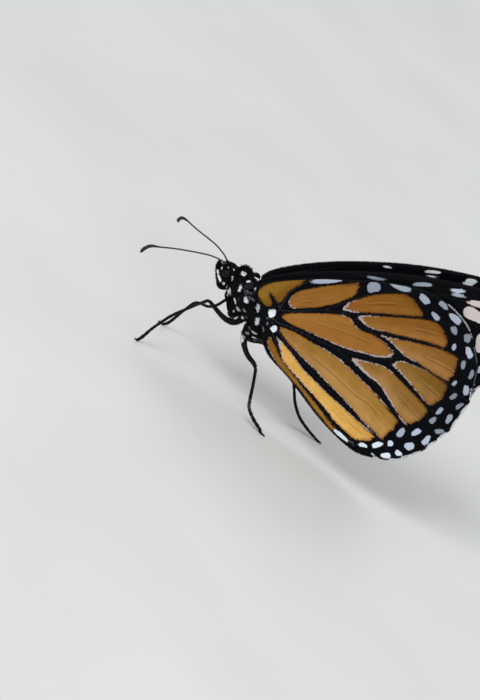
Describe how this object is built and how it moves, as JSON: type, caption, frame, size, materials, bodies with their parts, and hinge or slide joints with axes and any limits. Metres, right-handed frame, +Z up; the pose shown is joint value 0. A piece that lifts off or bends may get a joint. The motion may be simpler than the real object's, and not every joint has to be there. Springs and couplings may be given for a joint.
{
  "type": "monarch butterfly model",
  "caption": "Life-size monarch butterfly standing with its wings closed over its back, orange wings with black veins and a white-spotted black body and wing margin.",
  "frame": {"origin": "bottom centre of the whole insect, on the floor that its feet stand on", "axes": "+Z up, the head looks along -X, the left side faces -Y"},
  "size_m": [0.0652, 0.0226, 0.0483],
  "materials": {
    "body_fur": "short black fur and scales with white scale spots",
    "eye": "glossy dark compound eye",
    "antenna": "dull brown-black shaft with a black club",
    "leg": "satin black scaled cuticle",
    "sclerite": "satin blue-grey wing-base plate",
    "wing": "scaled orange cells, black veins and margins, white spots"
  },
  "bodies": {
    "root": {"head": "body_fur", "thorax": "body_fur", "abdomen": "body_fur", "palp_left": "body_fur", "palp_right": "body_fur", "eye_left": "eye", "eye_right": "eye", "antenna_left": "antenna", "antenna_right": "antenna", "proboscis": "leg", "tegula_left": "sclerite", "tegula_right": "sclerite", "forewing_left": "wing", "forewing_right": "wing", "hindwing_left": "wing", "hindwing_right": "wing", "foreleg_left": "leg", "foreleg_right": "leg", "midleg_left": "leg", "midleg_right": "leg", "hindleg_left": "leg", "hindleg_right": "leg"}
  },
  "joints": []
}
